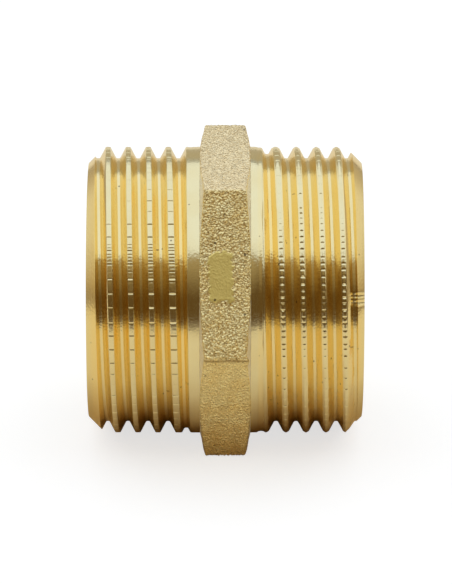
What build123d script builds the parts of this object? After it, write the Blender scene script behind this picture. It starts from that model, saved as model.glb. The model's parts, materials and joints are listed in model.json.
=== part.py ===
"""Brass hex nipple: two male parallel pipe threads either side of a wrench hexagon, with a waterway through.

The real object is one forged and turned piece of brass. It is written here as its three regions,
which meet face to face at the two side planes of the hexagon:
  hex_collar            the as-forged hexagon that a wrench holds
  right_threaded_end    the machined end on +X, with its shoulder band, thread and end face
  left_threaded_end     the same end turned to face -X, so its thread is right-handed too

Frame, in millimetres: origin on the waterway's axis at the middle of the hexagon, +X along the axis,
+Z up, at right angles to a pair of wrench flats. The object lies on its lower flat.
"""

from build123d import *
import math
import os

# Thread: parallel pipe thread G1 of ISO 228-1, Whitworth form
PITCH = 25.4 / 11
NOMINAL_DIAMETER = 33.249
CREST_UNDERSIZE = 0.249  # the crests are turned this much under the nominal diameter
FLANK_ANGLE = 27.5  # between a flank and the radial plane
FULL_FORM_DEPTH = 0.640327 * PITCH  # nominal crest to root
ROOT_ROUNDING = 0.137329 * PITCH

# Lengths along the axis
HEX_THICKNESS = 5.8
END_LENGTH = 12.8  # from the hexagon's side plane to the end face

# Where the thread stops short of the hexagon
FULL_THREAD_SETBACK = 2.5  # from the hexagon's side plane to the last groove at full depth
RUNOUT_TURNS = 0.9  # the groove climbs out of the metal over this part of a turn
RUNOUT_SHAPE = 1.3  # 1 is a steady climb, more starts it gently
RUNOUT_OVERSHOOT = 1.08  # the cutter ends this many thread depths up, clear of the crest
RIGHT_THREAD_ANGLE = 160.0  # about the end's own axis, where the crest meets the end face
LEFT_THREAD_ANGLE = 96.0
SECTION_STEP = 22.5  # degrees between the groove's sections
SPAN_STEPS = 16  # the groove is cut in spans of one turn

# Walls and edges
WALL_UNDER_THREAD = 2.4
LEAD_DROP = 0.5  # the lead chamfer ends this far below the root
BORE_CHAMFER = 0.5

# Hexagon
FLAT_HEIGHT = 0.2  # a wrench flat stands this far outside the shoulder band
CORNER_ROUNDING = 0.4
SIDE_DRAFT = 11.0  # slope of the side faces outside the shoulder radius, off the radial plane
OUTLINE_ROUNDING = 0.25

# Worked out from the sizes above
CREST_RADIUS = (NOMINAL_DIAMETER - CREST_UNDERSIZE) / 2
ROOT_RADIUS = NOMINAL_DIAMETER / 2 - FULL_FORM_DEPTH
THREAD_DEPTH = CREST_RADIUS - ROOT_RADIUS
BORE_RADIUS = ROOT_RADIUS - WALL_UNDER_THREAD
END_FACE_RADIUS = ROOT_RADIUS - LEAD_DROP
LEAD_CHAMFER = CREST_RADIUS - END_FACE_RADIUS
SHOULDER_X = HEX_THICKNESS / 2
END_X = SHOULDER_X + END_LENGTH
FLANK_SLOPE = math.tan(math.radians(FLANK_ANGLE))
ROOT_TOUCH_X = ROOT_ROUNDING * math.cos(math.radians(FLANK_ANGLE))  # where the root meets a flank
ROOT_TOUCH_HEIGHT = ROOT_ROUNDING * (1 - math.sin(math.radians(FLANK_ANGLE)))
FLAT_RADIUS = CREST_RADIUS + FLAT_HEIGHT
CORNER_RADIUS = FLAT_RADIUS / math.cos(math.pi / 6)  # to the hexagon's sharp corners


def half_width(height):
    """Half the groove's width at a height above its root, anywhere on the straight flanks."""
    return ROOT_TOUCH_X + (height - ROOT_TOUCH_HEIGHT) * FLANK_SLOPE


def groove_section():
    """Axial section of the thread groove: a rounded root, two flanks and a mouth above the crests.

    x runs along the axis and y outwards from the root. The mouth eats a quarter of the crest's flat
    on each side, so neighbouring turns of the cutter stay half a flat apart.
    """
    crest_flat = PITCH - 2 * half_width(THREAD_DEPTH)
    mouth_height = THREAD_DEPTH + crest_flat / 4 / FLANK_SLOPE
    mouth_x = half_width(mouth_height)
    root = ThreePointArc((-ROOT_TOUCH_X, ROOT_TOUCH_HEIGHT), (0, 0), (ROOT_TOUCH_X, ROOT_TOUCH_HEIGHT))
    rest = Polyline(
        (ROOT_TOUCH_X, ROOT_TOUCH_HEIGHT),
        (mouth_x, mouth_height),
        (-mouth_x, mouth_height),
        (-ROOT_TOUCH_X, ROOT_TOUCH_HEIGHT),
    )
    return make_face([root, rest])


def groove_path(thread_angle):
    """Stations of the right-hand groove, as (angle, x, lift), from past the end face to the run-out's end.

    At full depth x falls by one pitch a turn. In the run-out the advance slows evenly to nothing
    while the section lifts out of the metal.
    """
    first_x = END_X + PITCH
    first_angle = thread_angle + 180
    last_full_x = SHOULDER_X + FULL_THREAD_SETBACK
    full_turns = (first_x - last_full_x) / PITCH
    steps = math.ceil(full_turns * 360 / SECTION_STEP)
    stations = []
    for step in range(steps + 1):
        turns = full_turns * step / steps
        stations.append((first_angle - 360 * turns, first_x - PITCH * turns, 0.0))

    runout_start = first_angle - 360 * full_turns
    steps = math.ceil(RUNOUT_TURNS * 360 / SECTION_STEP)
    for step in range(1, steps + 1):
        share = step / steps
        turns = RUNOUT_TURNS * share
        advance = PITCH * RUNOUT_TURNS * (share - share**2 / 2)
        lift = THREAD_DEPTH * RUNOUT_OVERSHOOT * share**RUNOUT_SHAPE
        stations.append((runout_start - 360 * turns, last_full_x - advance, lift))
    return stations


def groove_spans(thread_angle):
    """The groove as solids lofted through its axial sections, each span starting where the last one ends."""
    section = groove_section()
    placed = [
        Rot(X=angle) * Pos(X=x, Y=ROOT_RADIUS + lift) * section
        for angle, x, lift in groove_path(thread_angle)
    ]
    starts = range(0, len(placed) - 1, SPAN_STEPS)
    return [loft(placed[start : start + SPAN_STEPS + 1]) for start in starts]


def threaded_end(thread_angle):
    """The machined end on +X: a chamfered tube from the hexagon's side plane, with the groove cut in."""
    outline = Polyline(
        (SHOULDER_X, BORE_RADIUS),
        (SHOULDER_X, CREST_RADIUS),
        (END_X - LEAD_CHAMFER, CREST_RADIUS),
        (END_X, END_FACE_RADIUS),
        (END_X, BORE_RADIUS + BORE_CHAMFER),
        (END_X - BORE_CHAMFER, BORE_RADIUS),
        close=True,
    )
    end = revolve(make_face(outline), axis=Axis.X)
    for span in groove_spans(thread_angle):
        end = end - span
    return end


def is_rim(edge):
    """Does this edge run round the hexagon's outline, where a flat or a corner meets a side face?"""
    middle = edge @ 0.5
    is_outside = math.hypot(middle.Y, middle.Z) > CREST_RADIUS + FLAT_HEIGHT / 2
    stays_on_one_side = edge.bounding_box().size.X < HEX_THICKNESS / 2
    return is_outside and stays_on_one_side


def hex_collar():
    """The forged hexagon ring: rounded corners, side faces that slope back towards the corners."""
    hexagon = RegularPolygon(FLAT_RADIUS, side_count=6, major_radius=False)
    hexagon = fillet(hexagon.vertices(), CORNER_ROUNDING)
    prism = extrude(Plane.YZ * hexagon, amount=SHOULDER_X, both=True)

    draft = (CORNER_RADIUS - CREST_RADIUS) * math.tan(math.radians(SIDE_DRAFT))
    envelope = Polyline(
        (-SHOULDER_X, 0),
        (-SHOULDER_X, CREST_RADIUS),
        (-SHOULDER_X + draft, CORNER_RADIUS),
        (SHOULDER_X - draft, CORNER_RADIUS),
        (SHOULDER_X, CREST_RADIUS),
        (SHOULDER_X, 0),
        close=True,
    )
    body = prism & revolve(make_face(envelope), axis=Axis.X)
    rims = [edge for edge in body.edges() if is_rim(edge)]
    body = fillet(rims, OUTLINE_ROUNDING)
    bore = Plane.YZ * Cylinder(BORE_RADIUS, HEX_THICKNESS)
    return body - bore


nodes = {
    "hex_collar": hex_collar(),
    "right_threaded_end": threaded_end(RIGHT_THREAD_ANGLE),
    "left_threaded_end": Rot(Z=180) * threaded_end(LEFT_THREAD_ANGLE),
}

os.makedirs("parts", exist_ok=True)
for name, shape in nodes.items():
    export_step(shape, f"parts/{name}.step")
    size = shape.bounding_box().size
    print(f"{name}: volume {shape.volume:.1f} mm3, size {size.X:.2f} x {size.Y:.2f} x {size.Z:.2f} mm")
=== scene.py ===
"""Hex nipple: the forged collar and the two turned, threaded ends of one brass fitting, and their studio.

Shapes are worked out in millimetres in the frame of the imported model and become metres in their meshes.
An angle about the waterway is measured from +Y towards +Z, so 180 degrees faces the front and 90 is up.
"""
import json
import math

import bpy
import numpy as np
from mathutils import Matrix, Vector


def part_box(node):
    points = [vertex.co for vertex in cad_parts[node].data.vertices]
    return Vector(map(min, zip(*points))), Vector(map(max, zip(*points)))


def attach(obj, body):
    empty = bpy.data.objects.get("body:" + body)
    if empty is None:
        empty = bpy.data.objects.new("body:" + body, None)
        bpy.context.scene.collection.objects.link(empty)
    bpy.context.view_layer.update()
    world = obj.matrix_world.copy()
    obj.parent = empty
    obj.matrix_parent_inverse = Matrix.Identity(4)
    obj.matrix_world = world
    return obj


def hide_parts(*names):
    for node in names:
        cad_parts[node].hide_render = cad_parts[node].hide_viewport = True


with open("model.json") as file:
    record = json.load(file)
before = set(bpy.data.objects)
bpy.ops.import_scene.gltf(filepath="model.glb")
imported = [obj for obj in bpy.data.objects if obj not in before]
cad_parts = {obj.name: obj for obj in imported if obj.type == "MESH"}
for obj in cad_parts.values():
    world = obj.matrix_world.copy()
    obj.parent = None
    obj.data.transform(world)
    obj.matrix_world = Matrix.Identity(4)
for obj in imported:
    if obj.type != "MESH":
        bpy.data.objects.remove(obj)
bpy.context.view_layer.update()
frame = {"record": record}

# ---------------------------------------------------------------------------------------------
# Hex collar
# The hexagon that a wrench holds, with its stretch of the waterway: hot-forged brass, blasted
# clean and left with its grain. One closed ring, whose grain and waviness are in the mesh, with
# a plain raised pad on its upper front face.
# ---------------------------------------------------------------------------------------------

MM = 0.001  # metres in a millimetre

collar_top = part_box("hex_collar")[1] / MM
end_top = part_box("right_threaded_end")[1] / MM
mounts = {mount["name"]: mount for mount in frame["record"]["mounts"]}

HEX_HALF = round(collar_top.x, 3)  # from the middle of the collar to its side plane
FLAT_RADIUS = round(collar_top.z, 3)  # from the axis to a wrench flat
CREST_RADIUS = round(end_top.z, 2)
BORE_RADIUS = mounts["waterway"]["dims"]["r_mm"]

CORNER_ROUNDING = 0.4
SIDE_DRAFT = math.radians(11)
RIM_ROUNDING = 0.25
HIDDEN_STEP = 0.6  # the side cone's columns start this far under the threaded end's skin

FLAT_ROWS = 174  # along one side of the hexagon
CORNER_ROWS = 8
CONE_COLUMNS = 9
RIM_COLUMNS = 5
FACE_COLUMNS = 54
BORE_COLUMNS = 4

PAD_PLACE = (-0.48, 0.3)  # along the axis, and down the face from its middle
PAD_HALF_SIZE = (1.35, 2.8)
PAD_CORNER = 0.35
PAD_HEIGHT = 0.045
PAD_BEARING = math.radians(150)  # the angle of the upper front face
PAD_EVENNESS = 0.95  # the share of the grain that the pad is without

GRAIN_DEPTH = 0.12
WAVINESS = 0.05  # how far the faces are out of true
RIM_WAVE = 0.09
CREASE_BEARINGS = (180.9, 359.1)  # degrees, just under the front and the back corner
CREASE_WIDTH = 0.6  # degrees
CREASE_DEPTH = 0.05
FLASH_BEARING = 181.6  # degrees
FLASH_WIDTH = 1.7  # degrees
FLASH_REACH = 0.3


def waves(points, wavelength, seed, count=36):
    """A smooth random height from -1 to 1, of one rough wavelength.

    It is the sum of many cosine waves with random directions and phases, scaled so that its
    spread is about 0.35.
    """
    draw = np.random.default_rng(seed)
    directions = draw.normal(size=(count, 3))
    directions /= np.linalg.norm(directions, axis=1, keepdims=True)
    numbers = 2 * math.pi / wavelength * draw.uniform(0.7, 1.4, count)
    phases = draw.uniform(0, 2 * math.pi, count)
    total = np.zeros(points.shape[:-1])
    for direction, number, phase in zip(directions, numbers, phases):
        total += np.cos(points @ (direction * number) + phase)
    return np.clip(total * 0.5 / math.sqrt(count), -1, 1)


def smooth_step(value, start, end):
    """0 before start, 1 after end, and an S curve, 3t^2 - 2t^3, between them."""
    share = np.clip((value - start) / (end - start), 0, 1)
    return share * share * (3 - 2 * share)


def around(x, radius, angle):
    """Points at x along the waterway, at a radius and at an angle in radians from +Y towards +Z."""
    x, radius, angle = np.broadcast_arrays(x, radius, angle)
    return np.stack([x, radius * np.cos(angle), radius * np.sin(angle)], axis=-1)


def ring_piece(name, points, material, smooth_under, **masks):
    """A closed ring of quads from a grid of points in millimetres, with its masks as attributes.

    Rows run round the waterway and columns run round the section, and both close on themselves,
    so vertex (row, column) meets (row + 1, column) and (row, column + 1), each wrapped round.
    """
    rows, columns = points.shape[:2]
    row, column = np.meshgrid(np.arange(rows), np.arange(columns), indexing="ij")
    next_row = (row + 1) % rows
    next_column = (column + 1) % columns
    corners = [(row, column), (row, next_column), (next_row, next_column), (next_row, column)]
    quads = np.stack([r * columns + c for r, c in corners], axis=-1).reshape(-1, 4)

    mesh = bpy.data.meshes.new(name)
    mesh.vertices.add(rows * columns)
    mesh.vertices.foreach_set("co", (points * MM).ravel())
    mesh.loops.add(quads.size)
    mesh.loops.foreach_set("vertex_index", quads.ravel())
    mesh.polygons.add(len(quads))
    mesh.polygons.foreach_set("loop_start", np.arange(0, quads.size, 4))
    mesh.update(calc_edges=True)
    mesh.polygons.foreach_set("use_smooth", np.ones(len(quads), bool))
    mesh.set_sharp_from_angle(angle=math.radians(smooth_under))
    for mask_name, values in masks.items():
        mask = mesh.attributes.new(mask_name, "FLOAT", "POINT")
        mask.data.foreach_set("value", np.broadcast_to(values, (rows, columns)).ravel())
    mesh.materials.append(material)
    piece = bpy.data.objects.new(name, mesh)
    bpy.context.collection.objects.link(piece)
    return piece


def hexagon_angles():
    """The angles of the rows, evenly spread along each flat and along each rounded corner."""
    touch = (FLAT_RADIUS - CORNER_ROUNDING) * math.tan(math.pi / 6)  # where a flat meets its corner
    flat = np.arctan(np.linspace(-touch, touch, FLAT_ROWS) / FLAT_RADIUS)
    corner = np.linspace(flat[-1], math.pi / 3 + flat[0], CORNER_ROWS + 2)[1:-1]
    side = np.concatenate([flat, corner])
    return np.concatenate([side + math.pi / 6 + math.pi / 3 * number for number in range(6)])


def hexagon_radius(angle):
    """From the axis to the outline: a flat's distance over the cosine of the angle off its middle.

    Near a corner it is the far side of a circle whose centre lies on the corner's bearing.
    """
    off_flat = np.mod(angle, math.pi / 3) - math.pi / 6
    off_corner = math.pi / 6 - np.abs(off_flat)
    centre = (FLAT_RADIUS - CORNER_ROUNDING) / math.cos(math.pi / 6)
    across = centre * np.sin(off_corner)
    rounded = centre * np.cos(off_corner) + np.sqrt(np.maximum(CORNER_ROUNDING**2 - across**2, 0))
    return np.where(across < CORNER_ROUNDING / 2, rounded, FLAT_RADIUS / np.cos(off_flat))


def collar_section(outline):
    """Half of the collar's section for each outline radius: side plane, side cone, round rim.

    The cone leans back from the side plane by the draft outside the threaded end's radius. The
    rim's arc touches the cone and the face, so its centre is one rounding inside both.
    """
    slope = math.tan(SIDE_DRAFT)
    centre_r = outline - RIM_ROUNDING
    centre_x = HEX_HALF - RIM_ROUNDING / math.cos(SIDE_DRAFT) - (centre_r - CREST_RADIUS) * slope
    turn = np.linspace(SIDE_DRAFT, math.pi / 2, RIM_COLUMNS)
    rim_x = centre_x[:, None] + RIM_ROUNDING * np.cos(turn)
    rim_r = centre_r[:, None] + RIM_ROUNDING * np.sin(turn)
    share = np.linspace(0, 1, CONE_COLUMNS, endpoint=False)
    cone_start = CREST_RADIUS - HIDDEN_STEP
    cone_r = cone_start + (rim_r[:, :1] - cone_start) * share
    cone_x = HEX_HALF - np.maximum(cone_r - CREST_RADIUS, 0) * slope
    bore_x = np.full((len(outline), 1), HEX_HALF)
    bore_r = np.full((len(outline), 1), BORE_RADIUS)
    return np.hstack([bore_x, cone_x, rim_x]), np.hstack([bore_r, cone_r, rim_r])


def on_flat(bearing):
    """1 on the flat at a bearing in degrees and 0 on the rest, with a soft edge at its corners."""
    return smooth_step(np.abs(collar_degrees - bearing), 30.5, 29.5)


collar_angle = hexagon_angles()
collar_degrees = np.degrees(collar_angle[:, None])
half_x, half_r = collar_section(hexagon_radius(collar_angle))
face_share = np.linspace(1, -1, FACE_COLUMNS + 2)[1:-1]
face_x = half_x[:, -1:] * face_share
face_r = np.repeat(half_r[:, -1:], FACE_COLUMNS, axis=1)
wall_places = np.linspace(-HEX_HALF, HEX_HALF, BORE_COLUMNS + 2)[1:-1]
wall_x = np.broadcast_to(wall_places, (len(collar_angle), BORE_COLUMNS))
section_x = np.hstack([half_x, face_x, -half_x[:, ::-1], wall_x])
section_r = np.hstack([half_r, face_r, half_r[:, ::-1], np.full(wall_x.shape, BORE_RADIUS)])
collar = around(section_x, section_r, collar_angle[:, None])

# Forging and blasting: grain and waviness are taken off inwards, so that the flats' high points stay
is_outside = smooth_step(section_r, CREST_RADIUS - 0.05, CREST_RADIUS + 0.1)
grain = 0.52 + 0.8 * waves(collar, 0.31, seed=11, count=60) - 0.3 * np.abs(waves(collar, 0.45, seed=12))
unevenness = 0.5 + 0.5 * waves(collar, 5.5, seed=13) + 0.25 * waves(collar, 2.2, seed=14)

# The pad is a rounded rectangle on its face, with a ragged edge
down_face = collar @ np.array([0, -math.sin(PAD_BEARING), math.cos(PAD_BEARING)])
on_pad_side = collar @ np.array([0, math.cos(PAD_BEARING), math.sin(PAD_BEARING)]) > FLAT_RADIUS - 0.1
beyond_x = np.abs(section_x - PAD_PLACE[0]) - (PAD_HALF_SIZE[0] - PAD_CORNER)
beyond_y = np.abs(down_face - PAD_PLACE[1]) - (PAD_HALF_SIZE[1] - PAD_CORNER)
pad_distance = np.hypot(np.maximum(beyond_x, 0), np.maximum(beyond_y, 0)) - PAD_CORNER
ragged = 0.22 * waves(collar, 1.1, seed=15) + 0.2 * waves(collar, 0.45, seed=17)
pad = on_pad_side * (1 - smooth_step(pad_distance + ragged, -0.12, 0.08))

grain_cut = GRAIN_DEPTH * (1 - np.clip(grain, 0, 1)) * (1 - PAD_EVENNESS * pad)
take_off = grain_cut + WAVINESS * np.clip(unevenness, 0, 1) - PAD_HEIGHT * pad
outline_r = section_r - take_off * is_outside
rim_wave = RIM_WAVE * smooth_step(section_r, CREST_RADIUS + 0.2, CREST_RADIUS + 1.2)
rim_wave = rim_wave * np.clip(0.5 + waves(collar * [0.01, 1, 1], 3.2, seed=16), 0, 1)
outline_x = section_x * (1 - rim_wave / HEX_HALF)

# The dies parted along the front and back corners, and left a crease just under each; its dark brown is
# painted shade
parting = collar_degrees + 0.35 * waves(collar, 2.5, seed=18)
crease = sum(np.exp(-(((parting - bearing) / CREASE_WIDTH) ** 2)) for bearing in CREASE_BEARINGS)
crease = np.clip(crease, 0, 1) * is_outside
outline_r = outline_r - CREASE_DEPTH * crease

# A thumbnail of flash stands on the right-hand rim at the front corner
flash = np.exp(-(((collar_degrees - FLASH_BEARING) / FLASH_WIDTH) ** 2)) * (section_x > 1)
flash = flash * smooth_step(section_r, CREST_RADIUS + 1.4, CREST_RADIUS + 2.3)
outline_x = outline_x + FLASH_REACH * flash * smooth_step(section_x, 1.4, 2.3)
collar = around(outline_x, outline_r, collar_angle[:, None])


def effect_group(name, inputs, outputs):
    """A new shader node group with those sockets, and its input and output nodes."""
    group = bpy.data.node_groups.new(name, "ShaderNodeTree")
    for socket_name, value in inputs.items():
        kind = "NodeSocketVector" if value is None else "NodeSocketFloat"
        socket = group.interface.new_socket(name=socket_name, in_out="INPUT", socket_type=kind)
        if value is not None:
            socket.default_value = value
    for socket_name in outputs:
        group.interface.new_socket(name=socket_name, in_out="OUTPUT", socket_type="NodeSocketFloat")
    return group, group.nodes.new("NodeGroupInput"), group.nodes.new("NodeGroupOutput")


def wire(tree, kind, inputs=None, **settings):
    """A new node in a tree, with its settings, and its inputs set to values or linked to sockets."""
    node = tree.nodes.new(kind)
    for key, value in settings.items():
        setattr(node, key, value)
    for key, value in (inputs or {}).items():
        if isinstance(value, bpy.types.NodeSocket):
            tree.links.new(value, node.inputs[key])
        else:
            node.inputs[key].default_value = value
    return node


def maths(tree, operation, first, second=0.0):
    """The output of a math node on two values or sockets."""
    return wire(tree, "ShaderNodeMath", {0: first, 1: second}, operation=operation).outputs[0]


def remap(tree, value, low, high, start=0.0, end=1.0):
    """The output of a map range node: low to high becomes start to end, and is held there."""
    inputs = {"Value": value, "From Min": low, "From Max": high, "To Min": start, "To Max": end}
    return wire(tree, "ShaderNodeMapRange", inputs).outputs["Result"]


def colour_mix(tree, share, first, second):
    """The colour between two colours or sockets."""
    node = wire(tree, "ShaderNodeMix", data_type="RGBA")
    for socket, value in ((node.inputs[0], share), (node.inputs[6], first), (node.inputs[7], second)):
        if isinstance(value, bpy.types.NodeSocket):
            tree.links.new(value, socket)
        else:
            socket.default_value = (*value, 1)
    return node.outputs[2]


def mask_of(tree, name):
    """The output of an attribute node for one of a piece's masks."""
    return wire(tree, "ShaderNodeAttribute", attribute_name=name).outputs["Fac"]


def placed_effect(tree, group, place, scale):
    """A node of one of the effect groups, on the given coordinates and at a scale."""
    return wire(tree, "ShaderNodeGroup", {"Vector": place, "Scale": scale}, node_tree=group)


def grain_group():
    """Fine grain of the metal: its height, and the flecks that catch the light, both from 0 to 1."""
    inputs = {"Vector": None, "Scale": 3000.0}
    group, given, made = effect_group("metal_grain", inputs, ["Height", "Flecks"])
    place = given.outputs["Vector"]
    scale = given.outputs["Scale"]
    fine = wire(group, "ShaderNodeTexNoise", {"Vector": place, "Scale": scale, "Detail": 3.0})
    cells = wire(group, "ShaderNodeTexVoronoi", {"Vector": place, "Scale": scale})
    height = maths(group, "MULTIPLY", fine.outputs["Fac"], cells.outputs["Distance"])
    group.links.new(remap(group, height, 0.05, 0.45), made.inputs["Height"])
    group.links.new(remap(group, fine.outputs["Fac"], 0.5, 0.75), made.inputs["Flecks"])
    return group


def blotch_group():
    """Broad patches of thin oxide: a soft mask from 0 to 1, broken up by a finer noise."""
    group, given, made = effect_group("oxide_blotches", {"Vector": None, "Scale": 200.0}, ["Mask"])
    place = given.outputs["Vector"]
    scale = given.outputs["Scale"]
    broad = wire(group, "ShaderNodeTexNoise", {"Vector": place, "Scale": scale, "Detail": 5.0})
    group.links.new(remap(group, broad.outputs["Fac"], 0.38, 0.66), made.inputs["Mask"])
    return group


def speck_group():
    """Sparse dark specks: the middles of a few scattered cells, 1 in a speck and 0 elsewhere."""
    inputs = {"Vector": None, "Scale": 700.0, "Size": 0.16}
    group, given, made = effect_group("dark_specks", inputs, ["Mask"])
    place = given.outputs["Vector"]
    scale = given.outputs["Scale"]
    cells = wire(group, "ShaderNodeTexVoronoi", {"Vector": place, "Scale": scale})
    chance = wire(group, "ShaderNodeSeparateColor", {"Color": cells.outputs["Color"]}).outputs[0]
    size = maths(group, "MULTIPLY", given.outputs["Size"], remap(group, chance, 0.72, 1.0))
    inside = maths(group, "SUBTRACT", size, cells.outputs["Distance"])
    group.links.new(remap(group, inside, 0.0, 0.03), made.inputs["Mask"])
    return group


metal_grain = grain_group()
oxide_blotches = blotch_group()
dark_specks = speck_group()

FORGED_BRASS = (1.0, 0.86, 0.46)
FORGED_DULL = (0.97, 0.75, 0.32)
HOLLOW_PAINTED_SHADE = (0.62, 0.38, 0.10)
UPPER_FLAT_PAINTED_LIGHT = (1.0, 0.825, 0.52)
SIDE_BRASS = (1.0, 0.92, 0.74)
CREASE_PAINTED_SHADE = (0.30, 0.17, 0.05)
TURNED_BRASS = (0.87, 0.77, 0.46)
PAD_BRASS = (0.97, 0.81, 0.29)
SPECK_BROWN = (0.10, 0.06, 0.025)


def forged_brass():
    """Blasted forging: rough brass with a sparkling grain, dull patches, specks and a smoother pad.

    Hollows of the grain are darker with painted shade, the upper flat is paler with painted light,
    the sides beside the threaded ends are paler and matt, and the bore has the colour of turned brass.
    """
    material = bpy.data.materials.new("forged_brass")
    material.use_nodes = True
    tree = material.node_tree
    shader = tree.nodes["Principled BSDF"]
    place = wire(tree, "ShaderNodeTexCoord").outputs["Object"]
    on_pad = mask_of(tree, "pad")
    on_side = mask_of(tree, "side")
    in_bore = mask_of(tree, "bored")
    grain_node = placed_effect(tree, metal_grain, place, 3900)
    patches = placed_effect(tree, oxide_blotches, place, 420)
    specks = placed_effect(tree, dark_specks, place, 900)

    dull = maths(tree, "MULTIPLY", patches.outputs["Mask"], 0.6)
    # Painted light: the upper flat is painted paler than the other flats, as if it were lit more brightly
    on_top_painted_light = maths(tree, "MULTIPLY", mask_of(tree, "upper_flat"), 0.85)
    # Painted shade: the hollows of the grain are painted darker and browner
    in_hollow = remap(tree, mask_of(tree, "hollow"), 0.4, 0.95, 0.0, 0.7)
    # Painted shade: the creases under the front and back corners are painted dark brown
    in_crease_painted_shade = maths(tree, "MULTIPLY", mask_of(tree, "crease"), 0.75)
    in_speck = maths(tree, "MULTIPLY", specks.outputs["Mask"], 0.8)
    colour = colour_mix(tree, dull, FORGED_BRASS, FORGED_DULL)
    colour = colour_mix(tree, on_top_painted_light, colour, UPPER_FLAT_PAINTED_LIGHT)
    colour = colour_mix(tree, in_hollow, colour, HOLLOW_PAINTED_SHADE)
    colour = colour_mix(tree, on_pad, colour, PAD_BRASS)
    colour = colour_mix(tree, in_bore, colour, TURNED_BRASS)
    colour = colour_mix(tree, in_crease_painted_shade, colour, CREASE_PAINTED_SHADE)
    colour = colour_mix(tree, on_side, colour, SIDE_BRASS)
    colour = colour_mix(tree, in_speck, colour, SPECK_BROWN)

    matt_pad = maths(tree, "MULTIPLY", on_pad, 0.22)
    matt_side = maths(tree, "MULTIPLY", on_side, 0.3)
    rough = remap(tree, grain_node.outputs["Flecks"], 0.0, 1.0, 0.30, 0.18)
    rough = maths(tree, "ADD", rough, maths(tree, "ADD", matt_pad, matt_side))
    rough = maths(tree, "SUBTRACT", rough, maths(tree, "MULTIPLY", in_bore, 0.1))
    grain_left = remap(tree, maths(tree, "MAXIMUM", on_pad, in_bore), 0.0, 1.0, 1.0, 0.16)
    relief = maths(tree, "MULTIPLY", grain_node.outputs["Height"], grain_left)
    bump = wire(tree, "ShaderNodeBump", {"Strength": 1.0, "Distance": 0.0001, "Height": relief})
    tree.links.new(colour, shader.inputs["Base Color"])
    tree.links.new(rough, shader.inputs["Roughness"])
    tree.links.new(bump.outputs["Normal"], shader.inputs["Normal"])
    shader.inputs["Metallic"].default_value = 1
    return material


# The painted shade in the grain's hollows is fainter on the upper flat and on the lower front flat
upper_flat = on_flat(90)
hollow = (1 - np.clip(grain, 0, 1)) * (1 - 0.55 * upper_flat) * (1 - 0.7 * on_flat(210))
bored = 1.0 - smooth_step(section_r, BORE_RADIUS + 0.1, BORE_RADIUS + 0.3)
far_side = 1 + CONE_COLUMNS + 2 * RIM_COLUMNS + FACE_COLUMNS  # the first column of the other cone
side = np.zeros(section_x.shape)
side[:, 1 : 1 + CONE_COLUMNS] = 1
side[:, far_side : far_side + CONE_COLUMNS] = 1
collar_piece = ring_piece(
    "forged_collar",
    collar,
    forged_brass(),
    smooth_under=50,
    pad=pad,
    side=side,
    hollow=hollow,
    crease=crease,
    upper_flat=upper_flat,
    bored=bored,
)
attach(collar_piece, "root")
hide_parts("hex_collar")

# ---------------------------------------------------------------------------------------------
# Threaded ends
# Both ends are turned from the forging: shoulder band, Whitworth thread that runs out towards the
# collar, lead chamfer, end face and bore. A toothed wheel has pressed nicks across the crests,
# which grip the sealing hemp.
# ---------------------------------------------------------------------------------------------

END_X = round(end_top.x, 3)
PITCH = 25.4 / 11
NOMINAL_RADIUS = 33.249 / 2
FLANK_ANGLE = math.radians(27.5)  # between a flank and the radial plane
FLANK_SLOPE = math.tan(FLANK_ANGLE)
FULL_FORM_DEPTH = 0.640327 * PITCH  # nominal crest to root
THREAD_DEPTH = CREST_RADIUS - (NOMINAL_RADIUS - FULL_FORM_DEPTH)
ROOT_RADIUS = CREST_RADIUS - THREAD_DEPTH
ROOT_ROUNDING = 0.137329 * PITCH
ROOT_TOUCH_X = ROOT_ROUNDING * math.cos(FLANK_ANGLE)  # where the root meets a flank
ROOT_TOUCH_HEIGHT = ROOT_ROUNDING * (1 - math.sin(FLANK_ANGLE))
ROOT_FLAT_HEIGHT = 0.03  # the worn cutter leaves the round root a little flat
CREST_HALF_FLAT = PITCH / 2 - ROOT_TOUCH_X - (THREAD_DEPTH - ROOT_TOUCH_HEIGHT) * FLANK_SLOPE
LAST_FULL_X = HEX_HALF + 2.5  # the last groove at full depth
RUNOUT_TURNS = 1.28
RUNOUT_HEIGHT = 1.01  # thread depths that the groove has climbed when it has stopped
RUNOUT_EXIT = 2.0  # thread depths that it then climbs for each further run-out's length
END_FACE_RADIUS = ROOT_RADIUS - 0.5
BORE_CHAMFER = 0.5
EDGE_ROUNDING = 0.05
THREAD_TURNS = 8  # enough turns of the groove to reach from beyond the end face to the run-out

CHATTER = 0.002  # the short waves that the tool leaves
WANDER = 0.010  # and the long ones

END_ROWS = 1060
SKIN_COLUMNS = 79
SKIN_SAMPLES = 1500  # places where a row's outline is tried before its columns are laid
ROW_SAMPLES = 24000
COLUMN_LENGTH = 1.15  # millimetres of skin that count for one in the sharing out of columns
TURN_WEIGHT = 2.7  # what each radian that the skin turns counts for
TURN_SPREAD = 9  # samples over which a turn is smoothed
PLAIN_ROWS = 5  # weight of a radian of plain skin in the sharing out of rows
NICK_ROWS = 2.4  # the same in a nick, where it is divided by the nick's half width
NICK_MARGIN = 1.25  # half widths, out to which the close rows reach


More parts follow.
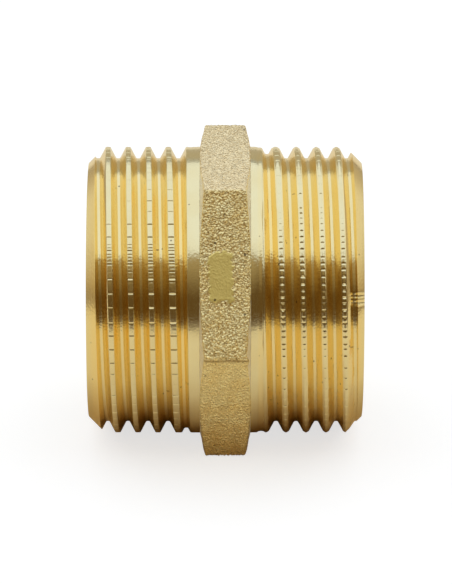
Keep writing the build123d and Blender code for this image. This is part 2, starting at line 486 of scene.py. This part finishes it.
def thread_radius(x, angle, thread_angle):
    """Radius of the thread groove's surface at x and angle, the least over its turns.

    The groove's centre moves one pitch along the axis a turn. Past its last full turn it slows
    to a stop and lifts out of the metal. Its section is a flattened round root between straight flanks.
    """
    lowest = np.full(np.broadcast(x, angle).shape, CREST_RADIUS + THREAD_DEPTH)
    for turn in range(-THREAD_TURNS, 2):
        turns = (angle - thread_angle) / (2 * math.pi) + turn
        steady = END_X + PITCH / 2 + PITCH * turns
        share = np.maximum((LAST_FULL_X - steady) / (PITCH * RUNOUT_TURNS), 0)
        centre = steady + PITCH * RUNOUT_TURNS * share**2 / 2
        climb = RUNOUT_HEIGHT * np.sin(np.minimum(share, 1) * math.pi / 2)
        lift = THREAD_DEPTH * (climb + RUNOUT_EXIT * np.maximum(share - 1, 0))
        off = np.abs(x - centre)
        round_root = ROOT_ROUNDING - np.sqrt(np.maximum(ROOT_ROUNDING**2 - off**2, 0))
        root = np.maximum(round_root, ROOT_FLAT_HEIGHT)
        flank = ROOT_TOUCH_HEIGHT + (off - ROOT_TOUCH_X) / FLANK_SLOPE
        lowest = np.minimum(lowest, ROOT_RADIUS + lift + np.where(off < ROOT_TOUCH_X, root, flank))
    return lowest


def rounded_least(first, second, rounding):
    """The lesser of two heights, with the corner between them rounded inwards.

    Where they differ by less than the rounding, the square of what is left of it comes off.
    """
    closeness = np.maximum(rounding - np.abs(first - second), 0)
    return np.minimum(first, second) - closeness**2 / (4 * rounding)


def plain_skin(x, angle, thread_angle, crown):
    """Radius of the machined outside: crowned crests, thread groove and lead chamfer, edges broken.

    The flanks would meet at a height above the crest's middle. A crest falls by its crown from
    there to its edges, with the square of the way from its middle.
    """
    groove = thread_radius(x, angle, thread_angle)
    to_edge = 1 - np.clip((groove - CREST_RADIUS) / CREST_HALF_FLAT * FLANK_SLOPE, 0, 1)
    skin = rounded_least(CREST_RADIUS - crown * to_edge**2, groove, EDGE_ROUNDING)
    return rounded_least(skin, END_FACE_RADIUS + END_X - x, EDGE_ROUNDING)


def share_out(density, places, count):
    """Count places along a line, closest together where the density is high: equal shares of its sum."""
    reached = np.cumsum(density)
    return np.interp(np.linspace(reached[0], reached[-1], count), reached, places)


def skin_columns(angle, thread_angle, crown):
    """Where along the axis each row's columns lie.

    Each row's outline is sampled finely. Its columns are equal shares of its length plus a weight
    for how far it turns, so they crowd at the crests' edges and in the roots.
    """
    x = np.linspace(HEX_HALF, END_X, SKIN_SAMPLES)
    radius = plain_skin(x[None, :], angle[:, None], thread_angle, crown)
    step = x[1] - x[0]
    slope = np.gradient(radius, step, axis=1)
    turned = np.abs(np.gradient(np.arctan(slope), axis=1))
    spread = np.ones(TURN_SPREAD) / TURN_SPREAD
    turned = np.apply_along_axis(np.convolve, 1, turned, spread, mode="same")
    density = np.hypot(1, slope) * step / COLUMN_LENGTH + TURN_WEIGHT * turned
    return np.stack([share_out(row, x, SKIN_COLUMNS) for row in density])


def nearest(angle, marks):
    """The nearest of some sorted marks round the circle to each angle: its number and the way to it."""
    looped = np.concatenate([marks[-1:] - 2 * math.pi, marks, marks[:1] + 2 * math.pi])
    after = np.clip(np.searchsorted(looped, angle), 1, len(looped) - 1)
    before_is_nearer = angle - looped[after - 1] < looped[after] - angle
    number = np.where(before_is_nearer, after - 1, after)
    return (number - 1) % len(marks), angle - looped[number]


def row_angles(nicks, halves):
    """The angles of the rows: close together in and beside a nick, and further apart elsewhere."""
    angle = np.linspace(0, 2 * math.pi, ROW_SAMPLES)
    number, off = nearest(angle, nicks)
    in_nick = np.abs(off) * CREST_RADIUS < halves[number] * NICK_MARGIN
    density = np.where(in_nick, NICK_ROWS / halves[number], PLAIN_ROWS)
    return share_out(density, angle, END_ROWS + 1)[:-1]


def nick_rows(draw, *groups):
    """The nicks of a few groups, sorted round the end, as their angles, half widths and depths.

    A group is its angles in radians, its half width, and its least and greatest depth.
    """
    angles = np.concatenate([group[0] for group in groups])
    halves = np.concatenate([np.full(len(group[0]), group[1]) for group in groups])
    depths = np.concatenate([draw.uniform(group[2], group[3], len(group[0])) for group in groups])
    order = np.argsort(angles)
    return angles[order], halves[order], depths[order]


def nick_cut(x, angle, thread_angle, nicks, halves, depths, seed):
    """How deep the wheel's nicks go below the crests.

    A nick is a V-shaped channel along the axis. Its depth differs from nick to nick, and
    rises and falls along the thread as the wheel rode over the crests: a sum of six slow waves.
    """
    number, off = nearest(angle, nicks)
    channel = np.maximum(1 - np.abs(off) * CREST_RADIUS / halves[number], 0)
    turns = (x - END_X) / PITCH - (angle - thread_angle) / (2 * math.pi)
    along = angle / (2 * math.pi) + np.round(turns)
    draw = np.random.default_rng(seed)
    ride = np.zeros(np.broadcast(x, angle).shape)
    for speed, phase in zip(draw.uniform(0.6, 3.4, 6), draw.uniform(0, 2 * math.pi, 6)):
        ride = ride + np.cos(2 * math.pi * speed * along + phase) / 2.2
    pressed = np.clip(0.9 + 0.3 * ride, 0.65, 1.1)
    on_thread = smooth_step(x, LAST_FULL_X - 0.35, LAST_FULL_X - 0.05)
    return depths[number] * channel * pressed * on_thread


def threaded_end(name, thread_angle, crown, nicks, dents, facing, seed):
    """One machined end as a closed ring, worked out as an end on +X and turned about Z to face its way.

    Columns run from the collar along the skin to the end face, across it and back down the bore.
    Nicks are their angles, half widths and depths. A dent is its x, its angle in degrees, its
    size and its depth, and falls away from its middle as a bell curve.
    """
    nicks, halves, depths = nicks
    angle = row_angles(nicks, halves)
    x = skin_columns(angle, thread_angle, crown)
    turn = angle[:, None]
    radius = plain_skin(x, turn, thread_angle, crown)
    crest_level = CREST_RADIUS - nick_cut(x, turn, thread_angle, nicks, halves, depths, seed)
    radius = np.minimum(radius, crest_level)
    skin = around(x, radius, turn)
    chatter = CHATTER * waves(skin * [0.6, 1, 1], 1.0, seed) + WANDER * waves(skin, 4.5, seed + 1)
    radius = radius - np.clip(WANDER + chatter, 0, 1)
    for dent_x, dent_angle, size, depth in dents:
        along = x - dent_x
        across = np.angle(np.exp(1j * (turn - math.radians(dent_angle)))) * CREST_RADIUS
        radius = radius - depth * np.exp(-(along**2 + across**2) / size**2)
    x = np.broadcast_to(x, radius.shape)

    # The end face, the bore's chamfer with a column beside each of its edges, and the bore
    inner = END_FACE_RADIUS - BORE_RADIUS - BORE_CHAMFER
    face_r = BORE_RADIUS + BORE_CHAMFER + inner * np.array([0.985, 0.66, 0.33, 0.02])
    face_x = np.full(len(face_r), END_X)
    chamfer_x = [END_X - 0.03, END_X - BORE_CHAMFER + 0.02]
    chamfer_r = BORE_RADIUS + BORE_CHAMFER - np.array([0.02, 0.49])
    wall_x = np.linspace(END_X - BORE_CHAMFER - 0.03, HEX_HALF, 7)
    wall_r = np.full(len(wall_x), BORE_RADIUS)
    rest_x = np.concatenate([face_x, chamfer_x, wall_x])
    rest_r = np.concatenate([face_r, chamfer_r, wall_r])

    x = np.hstack([x, np.tile(rest_x, (END_ROWS, 1))])
    radius = np.hstack([radius, np.tile(rest_r, (END_ROWS, 1))])
    points = around(x, radius, turn)
    if facing < 0:
        points = points * [-1, -1, 1]
    depth = np.clip((CREST_RADIUS - radius) / THREAD_DEPTH, 0, 1)
    depth[:, SKIN_COLUMNS:] = 0
    # The flank mask carries painted bounce light: the deeper yellow of light bounced between the flanks
    flank = smooth_step(depth, 0.04, 0.2) * (1 - 0.6 * smooth_step(depth, 0.9, 0.96))
    piece = ring_piece(name, points[:, ::-1], machined, smooth_under=40, groove=flank[:, ::-1])
    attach(piece, "root")
    return piece


WARM_BRASS = (0.84, 0.70, 0.37)
FLANK_PAINTED_BOUNCE_LIGHT = (0.95, 0.74, 0.32)


def machined_brass():
    """Bright turned brass: fine rings from the tool, faint warm oxide, specks, and flanks painted a
    deeper yellow as painted bounce light.
    """
    material = bpy.data.materials.new("machined_brass")
    material.use_nodes = True
    tree = material.node_tree
    shader = tree.nodes["Principled BSDF"]
    place = wire(tree, "ShaderNodeTexCoord").outputs["Object"]
    grain_node = placed_effect(tree, metal_grain, place, 3600)
    patches = placed_effect(tree, oxide_blotches, place, 260)
    specks = placed_effect(tree, dark_specks, place, 1000)

    axes = wire(tree, "ShaderNodeSeparateXYZ", {"Vector": place})
    square_y = maths(tree, "POWER", axes.outputs["Y"], 2.0)
    square_z = maths(tree, "POWER", axes.outputs["Z"], 2.0)
    radius = maths(tree, "SQRT", maths(tree, "ADD", square_y, square_z))
    ring_place = maths(tree, "ADD", axes.outputs["X"], maths(tree, "MULTIPLY", radius, 0.7))
    ring_inputs = {"W": ring_place, "Scale": 9000.0, "Detail": 3.0}
    rings = wire(tree, "ShaderNodeTexNoise", ring_inputs, noise_dimensions="1D")

    warm = maths(tree, "MULTIPLY", patches.outputs["Mask"], 0.5)
    in_speck = maths(tree, "MULTIPLY", specks.outputs["Mask"], 0.75)
    colour = colour_mix(tree, warm, TURNED_BRASS, WARM_BRASS)
    # Painted bounce light: the flanks are painted a deeper, warmer yellow
    colour = colour_mix(tree, mask_of(tree, "groove"), colour, FLANK_PAINTED_BOUNCE_LIGHT)
    colour = colour_mix(tree, in_speck, colour, SPECK_BROWN)
    worn = maths(tree, "ADD", patches.outputs["Mask"], grain_node.outputs["Flecks"])
    rough = remap(tree, worn, 0.0, 2.0, 0.13, 0.24)
    fine_grain = maths(tree, "MULTIPLY", grain_node.outputs["Height"], 0.7)
    relief = maths(tree, "ADD", rings.outputs["Fac"], fine_grain)
    bump = wire(tree, "ShaderNodeBump", {"Strength": 0.5, "Distance": 0.000012, "Height": relief})
    tree.links.new(colour, shader.inputs["Base Color"])
    tree.links.new(rough, shader.inputs["Roughness"])
    tree.links.new(bump.outputs["Normal"], shader.inputs["Normal"])
    shader.inputs["Metallic"].default_value = 1
    return material


machined = machined_brass()

# The right end's nicks, in degrees: close together on the upper front and wide apart elsewhere
draw = np.random.default_rng(5)
dense = np.arange(119, 184, 2.65)
sparse = np.arange(188, 475, 5.4)
dense = dense + draw.uniform(-0.35, 0.35, len(dense))
sparse = sparse + draw.uniform(-0.4, 0.4, len(sparse))
dense = np.radians(np.mod(dense, 360))
sparse = np.radians(np.mod(sparse, 360))
right_end = threaded_end(
    "right_thread",
    thread_angle=math.radians(160),
    crown=0.14,
    nicks=nick_rows(draw, (dense, 0.165, 0.085, 0.12), (sparse, 0.10, 0.08, 0.12)),
    dents=[(14.8, 158.5, 0.3, 0.2), (14.9, 161.5, 0.3, 0.22), (3.9, 158, 0.1, 0.03)],
    facing=1,
    seed=21,
)
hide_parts("right_threaded_end")

# The left end's: evenly round it, with shallow ones between them where the wheel went over it twice
COARSE_COUNT = 64
coarse = np.arange(COARSE_COUNT) + draw.uniform(-0.08, 0.08, COARSE_COUNT)
coarse = np.mod(coarse * 2 * math.pi / COARSE_COUNT, 2 * math.pi)
fine_stretches = ((27, 43, 1.35), (78, 104, 3.4), (250, 275, 1.5))  # degrees: start, end and step
fine = np.radians(np.concatenate([np.arange(*stretch) for stretch in fine_stretches]))
left_end = threaded_end(
    "left_thread",
    thread_angle=math.radians(96),
    crown=0.02,
    nicks=nick_rows(draw, (coarse, 0.11, 0.06, 0.09), (fine, 0.11, 0.02, 0.045)),
    dents=[(10.2, 52, 0.16, 0.12), (6.9, 44, 0.12, 0.1)],
    facing=-1,
    seed=31,
)
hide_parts("left_threaded_end")

# ---------------------------------------------------------------------------------------------
# Studio
# A plain pale floor under the collar's lower flat, a wide overhead softbox, and surroundings
# that are pale behind and at the sides and dark behind the camera.
# ---------------------------------------------------------------------------------------------

FLOOR_SIZE = 6.0
FLOOR_GREY = (0.46, 0.46, 0.46)
# The floor as the brass sees it: painted light on a strip, painted shade near the body and far off
STRIP_LIT = (0.98, 0.85, 0.61)
STRIP_SHADED = (0.65, 0.44, 0.185)
FAR_FLOOR_PAINTED_SHADE_BEHIND = (0.42, 0.31, 0.18)
FAR_FLOOR_PAINTED_SHADE_AHEAD = (0.13, 0.075, 0.03)
HALF_BODY = 0.014  # metres along the waterway that the shade under the body reaches each way

floor_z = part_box("hex_collar")[0].z
bpy.ops.mesh.primitive_plane_add(size=FLOOR_SIZE, location=(0, 0, floor_z))
floor = bpy.context.object
floor.name = "floor"
floor_paint = bpy.data.materials.new("pale_floor")
floor_paint.use_nodes = True
paint = floor_paint.node_tree
floor_shader = paint.nodes["Principled BSDF"]
seen_directly = wire(paint, "ShaderNodeLightPath").outputs["Is Camera Ray"]
floor_coordinates = wire(paint, "ShaderNodeTexCoord").outputs["Object"]
floor_place = wire(paint, "ShaderNodeSeparateXYZ", {"Vector": floor_coordinates})
floor_x = floor_place.outputs["X"]
floor_y = floor_place.outputs["Y"]

# The brass reflects a floor with painted light and shade: a lit warm strip round the nipple, painted
# darker in front and far away
square_ahead = maths(paint, "POWER", maths(paint, "MINIMUM", floor_y, 0.0), 2.0)
square_aside = maths(paint, "POWER", floor_x, 2.0)
from_strip = maths(paint, "SQRT", maths(paint, "ADD", square_ahead, square_aside))
off_strip = remap(paint, from_strip, 0.145, 0.195)
in_front = remap(paint, floor_y, -0.02, -0.12)
far_painted_shade = colour_mix(paint, in_front, FAR_FLOOR_PAINTED_SHADE_BEHIND, FAR_FLOOR_PAINTED_SHADE_AHEAD)

# Close to the body the strip has painted shade, darker and browner, as the brass sees it
past_end = maths(paint, "SUBTRACT", maths(paint, "ABSOLUTE", floor_x), HALF_BODY)
square_past = maths(paint, "POWER", maths(paint, "MAXIMUM", past_end, 0), 2.0)
square_across = maths(paint, "POWER", floor_y, 2.0)
from_body = maths(paint, "SQRT", maths(paint, "ADD", square_past, square_across))
out_of_shade = remap(paint, from_body, 0.006, 0.019)
strip_colour = colour_mix(paint, out_of_shade, STRIP_SHADED, STRIP_LIT)

in_metal = colour_mix(paint, off_strip, strip_colour, far_painted_shade)
floor_colour = colour_mix(paint, seen_directly, in_metal, FLOOR_GREY)
# Painted light: in what the brass reflects, the floor glows a little outside the painted shade; seen
# directly it glows evenly and stays pale
painted_glow_in_metal = maths(paint, "MULTIPLY", out_of_shade, 0.05)
glow = wire(paint, "ShaderNodeMix", {0: seen_directly, 2: painted_glow_in_metal, 3: 0.70}).outputs[0]
paint.links.new(floor_colour, floor_shader.inputs["Base Color"])
paint.links.new(glow, floor_shader.inputs["Emission Strength"])
floor_shader.inputs["Emission Color"].default_value = (1, 1, 1, 1)
floor_shader.inputs["Roughness"].default_value = 0.9
floor.data.materials.append(floor_paint)

BOX_HEIGHT = 0.9
BOX_WIDTH = 3.0
BOX_FRONT = math.radians(52)  # how high its front edge stands, seen from the nipple
BOX_REAR = math.radians(31)
BOX_RADIANCE = 0.63
COOL_WHITE = (0.93, 1.0, 1.1)

front_edge = -BOX_HEIGHT / math.tan(BOX_FRONT)
rear_edge = BOX_HEIGHT / math.tan(BOX_REAR)
box_length = rear_edge - front_edge
box_centre = Vector((0, (front_edge + rear_edge) / 2, BOX_HEIGHT))
lamp = bpy.data.lights.new("overhead", "AREA")
lamp.shape = "RECTANGLE"
lamp.size = BOX_WIDTH
lamp.size_y = box_length
lamp.energy = math.pi * BOX_WIDTH * box_length * BOX_RADIANCE
lamp.color = COOL_WHITE
softbox = bpy.data.objects.new("overhead", lamp)
bpy.context.collection.objects.link(softbox)
softbox.location = box_centre
softbox.rotation_mode = "QUATERNION"
softbox.rotation_quaternion = Vector((0, 0, -1)).to_track_quat("-Z", "Y")

REAR_WALL = (0.48, 0.425, 0.315)
SIDE_FOOT = (0.42, 0.31, 0.16)
SIDE_WALL = (0.82, 0.80, 0.72)
ROOM_ABOVE = (0.33, 0.35, 0.37)
FRONT_FOOT = (0.12, 0.072, 0.024)
FRONT_WALL = (0.40, 0.31, 0.16)
BOX_EDGE_SLOPE = 0.78  # the softbox's front edge stands where Y + 0.78 Z is nought

world = bpy.data.worlds.new("surroundings")
bpy.context.scene.world = world
world.use_nodes = True
sky = world.node_tree
look = wire(sky, "ShaderNodeTexCoord").outputs["Generated"]
bearing = wire(sky, "ShaderNodeSeparateXYZ", {"Vector": look})
upwards = bearing.outputs["Z"]
sideways = maths(sky, "ABSOLUTE", bearing.outputs["X"])
side_wall = colour_mix(sky, remap(sky, upwards, -0.02, 0.3), SIDE_FOOT, SIDE_WALL)
around_it = colour_mix(sky, remap(sky, sideways, 0.35, 0.7), REAR_WALL, side_wall)
around_it = colour_mix(sky, remap(sky, upwards, 0.40, 0.48), around_it, ROOM_ABOVE)
below_box = maths(sky, "ADD", bearing.outputs["Y"], maths(sky, "MULTIPLY", upwards, BOX_EDGE_SLOPE))
to_front = remap(sky, bearing.outputs["Y"], -0.20, -0.30)
front_low = maths(sky, "MULTIPLY", remap(sky, below_box, 0.02, -0.05), to_front)
front = colour_mix(sky, remap(sky, upwards, 0.32, 0.74), FRONT_FOOT, FRONT_WALL)
surround = colour_mix(sky, front_low, around_it, front)
sky.links.new(surround, sky.nodes["Background"].inputs["Color"])

CAMERA_ELEVATION = math.radians(24.2)
CAMERA_DISTANCE = 0.58
VIEW_HEIGHT = 0.06742  # what the upright frame takes in at the object
AIM_RAISE = -0.000277
AIM_ASIDE = 0.00009
SENSOR_WIDTH = 36

away = Vector((0, -math.cos(CAMERA_ELEVATION), math.sin(CAMERA_ELEVATION)))
upward = Vector((0, math.sin(CAMERA_ELEVATION), math.cos(CAMERA_ELEVATION)))
lens = bpy.data.cameras.new("camera")
lens.sensor_width = SENSOR_WIDTH
lens.lens = SENSOR_WIDTH * CAMERA_DISTANCE / VIEW_HEIGHT
lens.clip_start = 0.01
lens.clip_end = 20
camera = bpy.data.objects.new("camera", lens)
bpy.context.collection.objects.link(camera)
camera.location = Vector((AIM_ASIDE, 0, 0)) + upward * AIM_RAISE + away * CAMERA_DISTANCE
camera.rotation_mode = "QUATERNION"
camera.rotation_quaternion = (-away).to_track_quat("-Z", "Y")
bpy.context.scene.camera = camera
bpy.context.scene.view_settings.view_transform = "Standard"
